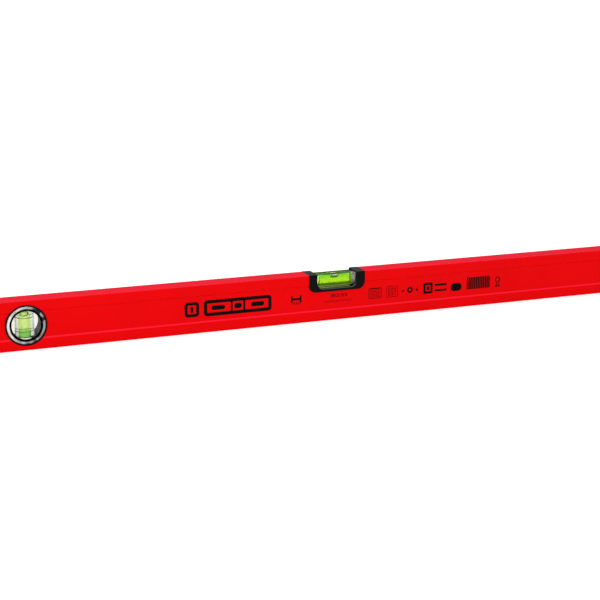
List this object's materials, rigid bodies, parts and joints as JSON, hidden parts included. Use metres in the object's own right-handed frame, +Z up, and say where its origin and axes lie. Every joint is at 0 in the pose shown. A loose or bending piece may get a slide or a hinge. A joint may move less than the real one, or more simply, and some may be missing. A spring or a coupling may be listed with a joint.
{
  "type": "spirit level",
  "caption": "Long red box-section spirit level with a see-through horizontal vial in the top edge, a round plumb vial near one end and black end caps.",
  "frame": {"origin": "middle of the bottom measuring face", "axes": "+X along the level away from the plumb vial, +Y through it to the rear face, +Z up to the top measuring face"},
  "size_m": [0.8, 0.022, 0.05],
  "materials": {
    "red_powder_coat": "extruded aluminium with a glossy red powder coat",
    "cap_black": "fine-textured black moulding",
    "housing_black": "semi-gloss black moulding",
    "clear_acrylic": "clear polished acrylic",
    "vial_fluid": "yellow-green vial liquid",
    "vial_bubble": "air bubble",
    "line_black": "black reading line"
  },
  "bodies": {
    "level": {"profile": "red_powder_coat", "end_cap_left": "cap_black", "end_cap_right": "cap_black", "centre_housing_front": "housing_black", "centre_housing_rear": "housing_black", "centre_vial_block": "clear_acrylic", "centre_vial_plug": "clear_acrylic", "centre_fluid": "vial_fluid", "centre_line_left": "line_black", "centre_line_right": "line_black", "plumb_housing_front": "housing_black", "plumb_housing_rear": "housing_black", "plumb_lens_front": "clear_acrylic", "plumb_lens_rear": "clear_acrylic", "plumb_vial_tube": "clear_acrylic", "plumb_vial_plug": "clear_acrylic", "plumb_fluid": "vial_fluid", "plumb_line_upper": "line_black", "plumb_line_lower": "line_black"},
    "centre_bubble_body": {"centre_bubble": "vial_bubble"},
    "plumb_bubble_body": {"plumb_bubble": "vial_bubble"}
  },
  "joints": [
    {"name": "centre_bubble_slide", "type": "slide", "parent": "level", "child": "centre_bubble_body", "axis": [1, 0, 0], "range_m": [-0.0125, 0.0125], "stiffness_N_per_m": 4, "deforming": ["centre_fluid"]},
    {"name": "plumb_bubble_slide", "type": "slide", "parent": "level", "child": "plumb_bubble_body", "axis": [0, 0, 1], "range_m": [-0.019, 0], "stiffness_N_per_m": 4, "springref_m": 0.006, "deforming": ["plumb_fluid"]}
  ]
}
